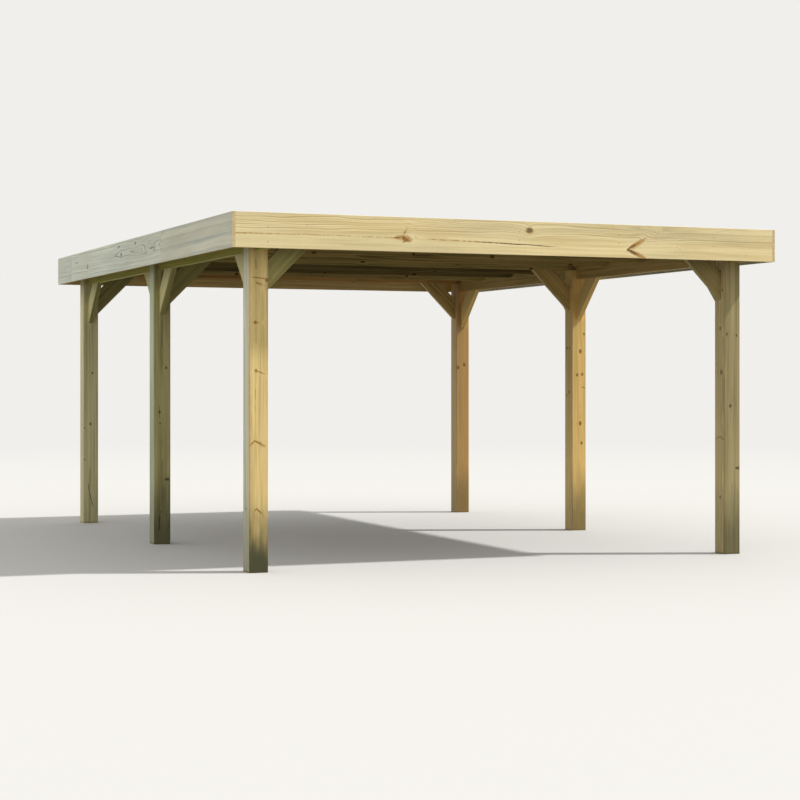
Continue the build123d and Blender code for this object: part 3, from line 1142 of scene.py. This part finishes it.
def new_piece(name, shape):
    """Turns a bmesh into an object that rides with the carport."""
    bmesh.ops.recalc_face_normals(shape, faces=shape.faces)
    piece = as_object(name, shape)
    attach(piece, "root")
    print(name, "has", len(piece.data.polygons), "faces")
    return piece


shape = bmesh.new()
for number in range(DECK_BOARDS):
    left = deck_low.x + number * BOARD_PITCH
    outline = board_outline(BOARD_PITCH - BOARD_GAP, deck_high.z - deck_low.z, number < DECK_BOARDS - 1)
    ends = (deck_low.y, deck_high.y)
    skin(shape, [[shape.verts.new((left + x, y, deck_low.z + z)) for x, z in outline] for y in ends])
deck = new_piece("deck_boards", shape)
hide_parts("roof_deck")

first = (deck_low + deck_high) / 2
first.x = deck_low.x + BOARD_PITCH / 2
half = ((deck_high.y - deck_low.y) / 2, BOARD_PITCH / 2, (deck_high.z - deck_low.z) / 2)
grain = {"pith": (0, 0.01, -0.05), "width": 0.01, "meander": 0.08, "seed": 130.0}
knots = {"rows": [{"Spacing": 0.5, "Largest": 0.016}], "pitch": (BOARD_PITCH, 0, 0)}
deck.data.materials.append(timber("deck boards", first, half, ALONG_Y, "shaded", gloss=0.0, **grain, **knots))


# %% [markdown]
# ## Rubber covering
#
# A single sheet of rubber keeps the deck dry. It is laid loose at first and never lies quite flat, and at
# the fascia it turns up in a soft bend. It could be one flat face, but then its rim would be knife sharp.
# The flat part is a grid with low ripples, and rings of points carry it round the bend, over the rim and
# back underneath to close the shape. Its dust is a group, because the screws have some too.

# %% Build the rubber sheet
SHEET_THICKNESS = 0.003
BEND_RADIUS = 0.009
BEND_STEPS = 5
GRID_STEP = 0.1
RIPPLE_HEIGHT = 0.0014
STILL_EDGE = 0.3
sheet_low, sheet_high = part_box("roof_covering")
flat_x = (sheet_high.x - sheet_low.x) / 2 - SHEET_THICKNESS - BEND_RADIUS
flat_y = (sheet_high.y - sheet_low.y) / 2 - SHEET_THICKNESS - BEND_RADIUS
cells = (round(2 * flat_x / GRID_STEP), round(2 * flat_y / GRID_STEP))
luck = random.Random(7)
waves = [(luck.uniform(3, 15), luck.uniform(-9, 9), luck.uniform(0, 6.28)) for _ in range(5)]


def ripple(x, y):
    """Height of the loose sheet, 0 at its flat edge."""
    swing = sum(math.sin(a * x + b * y + start) for a, b, start in waves) / len(waves) * 0.5 + 0.5
    fade = min(1.0, (flat_x - abs(x)) / STILL_EDGE, (flat_y - abs(y)) / STILL_EDGE)
    return RIPPLE_HEIGHT * swing * fade


def rim_places():
    """The grid's edge points in order round the sheet, as shares from -1 to 1."""
    wide, long = cells
    places = [(i / wide * 2 - 1, -1.0) for i in range(wide)]
    places += [(1.0, i / long * 2 - 1) for i in range(long)]
    places += [(1 - i / wide * 2, 1.0) for i in range(wide)]
    return places + [(-1.0, 1 - i / long * 2) for i in range(long)]


def ring(shape, outward, height):
    """One ring of points round the sheet, outward from the flat part and at a height above the deck."""
    rim = [(x * (flat_x + outward), y * (flat_y + outward)) for x, y in rim_places()]
    return [shape.verts.new((x, y, sheet_low.z + height)) for x, y in rim]


def flat_part(shape, height, rippled):
    """A grid of points, and the ring that is its edge."""
    wide, long = cells
    rows = []
    for j in range(long + 1):
        y = (j / long * 2 - 1) * flat_y
        xs = [(i / wide * 2 - 1) * flat_x for i in range(wide + 1)]
        rows.append([shape.verts.new((x, y, sheet_low.z + height + ripple(x, y) * rippled)) for x in xs])
    for j in range(long):
        for i in range(wide):
            shape.faces.new((rows[j][i], rows[j][i + 1], rows[j + 1][i + 1], rows[j + 1][i]))
    right = [rows[j][wide] for j in range(long)]
    left = [rows[long - j][0] for j in range(long)]
    return rows[0][:wide] + right + rows[long][:0:-1] + left


print("sheet:", cells, "cells, flat over", round(2 * flat_x, 3), "x", round(2 * flat_y, 3), "m")

# %% Close the rubber sheet
shape = bmesh.new()
upstand = sheet_high.z - sheet_low.z
lip = SHEET_THICKNESS / 2
chamfer = lip * 0.3
profile = []
for step in range(1, BEND_STEPS + 1):
    angle = step / BEND_STEPS * math.pi / 2
    profile.append((BEND_RADIUS * math.sin(angle), SHEET_THICKNESS + BEND_RADIUS * (1 - math.cos(angle))))
rim = [(0.0, upstand - lip), (chamfer, upstand - chamfer), (lip, upstand)]
rim += [(SHEET_THICKNESS, upstand - chamfer), (SHEET_THICKNESS, 0.0)]
profile += [(BEND_RADIUS + outward, height) for outward, height in rim]
rings = [flat_part(shape, SHEET_THICKNESS, 1.0)]
rings += [ring(shape, outward, height) for outward, height in profile]
skin(shape, [*rings, flat_part(shape, 0.0, 0.0)], closed=False)
sheet = new_piece("rubber_sheet", shape)
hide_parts("roof_covering")
for polygon in sheet.data.polygons:
    polygon.use_smooth = True


# %% Dust, and the sheet's material
def dusty(tree, given):
    place = coordinate(tree, "Object")
    _, _, up = parts(coordinate(tree, "Normal"))
    cloud = noise(place * given["Scale"], detail=5.0)
    mask = smooth(cloud, 0.35, 0.8) * smooth(up, -0.2, 0.8) * given["Amount"]
    return {"Mask": mask, "Grain": noise(place * given["Grain Scale"])}


DUST = effect("Dust", {"Scale": 1.6, "Grain Scale": 260.0, "Amount": 0.5}, dusty)


def dusted(title, clean, dust, values, roughness, metallic=0.0):
    """A material for a plain surface with dust lying on it and a fine grain."""
    made, tree, shader = new_material(title)
    shader.inputs["Metallic"].default_value = metallic
    found = use(tree, DUST, values)
    grainy = mix(tree, found["Grain"] * 0.35, clean, dust)
    feed(shader.inputs["Base Color"], mix(tree, found["Mask"], grainy, dust))
    feed(shader.inputs["Roughness"], found["Mask"] * 0.2 + found["Grain"] * 0.12 + roughness)
    emboss(tree, shader, found["Grain"], strength=0.35, distance=0.0006)
    return made


SHEET_DUST = {"Scale": 2.6, "Amount": 0.3}
rubber = dusted("rubber", paint(50, 51, 53), paint(104, 102, 97), SHEET_DUST, roughness=0.62)
sheet.data.materials.append(rubber)


# %% [markdown]
# ## Screws
#
# Countersunk screws hold the fascia to its blocks and the braces to posts and beams, and hex-headed ones
# go through each post's outer cheek into the beam. They are a few pixels wide, so a plain disc might do,
# but a head with its recess catches light as a real one does. One function draws a head from rings, and
# loops put it where wood is held.

# %% A countersunk head and a hex head
HEAD_RADIUS = 0.0045
HEAD_POINTS = 24
RECESS_RADIUS = 0.44 * HEAD_RADIUS
RECESS_LOBES = 6
LOBE_HEIGHT = 0.07 * HEAD_RADIUS
RECESS_FLOOR = -0.0006
WASHER_RADIUS = 0.0125
WASHER_TOP = 0.0025
WASHER_CHAMFER = 0.0003
ACROSS_FLATS = 0.017
HEX_TOP = 0.0093
HEX_CHAMFER = 0.0008
HEX_TOP_RADIUS = 0.46 * ACROSS_FLATS


def fixing(shape, centre, facing, levels):
    """A closed head from rings of points, each at a distance out with a radius at each angle."""
    turn = facing.to_track_quat("Z", "Y")
    angles = [step / HEAD_POINTS * 2 * math.pi for step in range(HEAD_POINTS)]
    rings = []
    for distance, radius in levels:
        local = [Vector((radius(a) * math.cos(a), radius(a) * math.sin(a), distance)) for a in angles]
        rings.append([shape.verts.new(centre + turn @ point) for point in local])
    skin(shape, rings)


def round_edge(radius):
    return lambda angle: radius


def star(angle):
    return RECESS_RADIUS + LOBE_HEIGHT * math.cos(RECESS_LOBES * angle)


def hexagon(angle):
    return ACROSS_FLATS / 2 / math.cos((angle % (math.pi / 3)) - math.pi / 6)


def screw_head(shape, centre, facing):
    """A countersunk head with a star recess, a hair proud of the wood."""
    edges = ((-0.0012, 0.7), (0.0, 1.0), (0.0003, 0.97), (0.0005, 0.8))  # distance, share of the radius
    levels = [(distance, round_edge(HEAD_RADIUS * share)) for distance, share in edges]
    fixing(shape, centre, facing, levels + [(edges[-1][0], star), (RECESS_FLOOR, star)])


def hex_head(shape, centre, facing):
    """A hexagonal head on a washer."""
    edges = ((0.0, 1.0), (WASHER_TOP - WASHER_CHAMFER, 1.0), (WASHER_TOP, 0.97))
    levels = [(distance, round_edge(WASHER_RADIUS * share)) for distance, share in edges]
    levels += [(WASHER_TOP, hexagon), (HEX_TOP - HEX_CHAMFER, hexagon)]
    fixing(shape, centre, facing, levels + [(HEX_TOP, round_edge(HEX_TOP_RADIUS))])


print("screw head:", HEAD_RADIUS * 2, "m across, hexagon:", ACROSS_FLATS, "m across its flats")

# %% Place the fascia screws
SCREW_LEVELS = (2.313, 2.373)
CORNER_LEVELS = (2.25, 2.33, 2.41)
BEAM_END_LEVELS = (2.25, 2.35)
END_BLOCKS = [step * END_BLOCK_PITCH for step in range(-2, 3)]
SCREW_STEPS = (-0.012, 0.012)  # to either side of a joint or of a brace's middle line
front_low, front_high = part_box("front_fascia")
thickness = front_high.y - front_low.y
roof_low, roof_high = cad_box
shape = bmesh.new()
for y, facing in ((roof_low.y, FRONT), (roof_high.y, REAR)):
    places = [(x, z) for x in END_BLOCKS for z in SCREW_LEVELS]
    places += [(middle_of(beam).x, z) for beam in ("left_beam", "right_beam") for z in BEAM_END_LEVELS]
    for x, z in places:
        screw_head(shape, Vector((x, y, z)), facing)
joints = [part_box(node)[0].y for node in ("left_fascia", "left_fascia_end")]
corners = (roof_low.y + thickness / 2, roof_high.y - thickness / 2)
for x, facing in ((roof_low.x, LEFT), (roof_high.x, RIGHT)):
    places = [(middle_of(joist).y, z) for joist in joists for z in SCREW_LEVELS]
    places += [(joint + step, z) for joint in joints for step in SCREW_STEPS for z in SCREW_LEVELS]
    places += [(y, z) for y in corners for z in CORNER_LEVELS]
    for y, z in places:
        screw_head(shape, Vector((x, y, z)), facing)
fascia_screws = new_piece("fascia_screws", shape)

# %% Place the screws of braces and posts
BRACE_SCREW_FROM_END = 0.055
shape = bmesh.new()
for node in braces:
    corner, out, reach = brace_place(node)
    slope, facing = (out - DOWN).normalized(), (out + DOWN).normalized()
    for distance in (BRACE_SCREW_FROM_END, reach * math.sqrt(2) - BRACE_SCREW_FROM_END):
        for step in SCREW_STEPS:
            screw_head(shape, corner + DOWN * reach + slope * distance + out.cross(DOWN) * step, facing)
brace_screws = new_piece("brace_screws", shape)

shape = bmesh.new()
for node in POSTS:
    outward = LEFT if "left" in node else RIGHT
    for z in BEAM_END_LEVELS:
        hex_head(shape, on_face(node, outward, middle_of(node).y, z), outward)
post_screws = new_piece("post_screws", shape)

ZINC = {"clean": paint(176, 176, 168), "dust": paint(118, 112, 96), "roughness": 0.35, "metallic": 1.0}
COATING = {"clean": paint(188, 164, 112), "dust": paint(150, 130, 90), "roughness": 0.5, "metallic": 0.2}
METAL_DUST = {"Scale": 120.0, "Grain Scale": 900.0}
zinc = dusted("zinc", values=METAL_DUST, **ZINC)
coated = dusted("coated steel", values=METAL_DUST, **COATING)
for piece, metal in ((fascia_screws, coated), (brace_screws, coated), (post_screws, zinc)):
    piece.data.materials.append(metal)


# %% [markdown]
# ## Floor, world and lamp
#
# A studio floor shows the shadow that ties an object to the ground. A real one ends at a line where the
# wall starts. Here the floor turns into the colour behind it as it runs away from the object, so no line
# is left, and the object itself is lit by a plain grey world and one sun, made a few times wider than the
# real one for softer shadows.

# %% Build the floor
BACKGROUND = paint(240, 239, 236)
FLOOR_RADIUS = 60.0
FADE = (7.0, 26.0)


def seen_rays(tree):
    """1 for rays that look at a surface directly, in a mirror or through glass."""
    kinds = ("Camera", "Glossy", "Transmission")
    direct, mirrored, through = (node_of(tree, "LightPath", {}, f"Is {kind} Ray") for kind in kinds)
    return direct.at_least(mirrored).at_least(through)


material, tree, shader = new_material("pale floor")
feed(shader.inputs["Base Color"], mix(tree, seen_rays(tree), paint(112, 110, 105), paint(198, 196, 191)))
shader.inputs["Roughness"].default_value = 0.9
shader.inputs["Specular IOR Level"].default_value = 0.1
glow = node_of(tree, "Emission", {"Color": BACKGROUND})
far = smooth(coordinate(tree, "Object").length(), *FADE) * seen_rays(tree)
blended = node_of(tree, "MixShader", {0: far, 1: Term(tree, shader.outputs[0]), 2: glow})
feed(tree.nodes["Material Output"].inputs["Surface"], blended)

shape = bmesh.new()
bmesh.ops.create_circle(shape, cap_ends=True, radius=FLOOR_RADIUS, segments=96)
floor = as_object("floor", shape)
floor.data.materials.append(material)
print("floor: radius", FLOOR_RADIUS, "m, fading between", *FADE, "m")

# %% Light the scene
WORLD_GREY = 0.86
SUN_STRENGTH = 3.2
SUN_WIDTH = 2.5  # degrees; the real sun is half a degree wide
TOWARDS_THE_SUN = Vector((0.581, -0.220, 0.784))

world = bpy.data.worlds.new("studio")
world.use_nodes = True
bpy.context.scene.world = world
tree = world.node_tree
colour = mix(tree, seen_rays(tree), (WORLD_GREY, WORLD_GREY, WORLD_GREY, 1.0), BACKGROUND)
feed(tree.nodes["Background"].inputs["Color"], colour)

sun = bpy.data.lights.new("soft sun", "SUN")
sun.energy = SUN_STRENGTH
sun.angle = math.radians(SUN_WIDTH)
lamp = bpy.data.objects.new("soft sun", sun)
lamp.rotation_euler = TOWARDS_THE_SUN.to_track_quat("Z", "Y").to_euler()
bpy.context.scene.collection.objects.link(lamp)
print("world", WORLD_GREY, "and sun", SUN_STRENGTH)
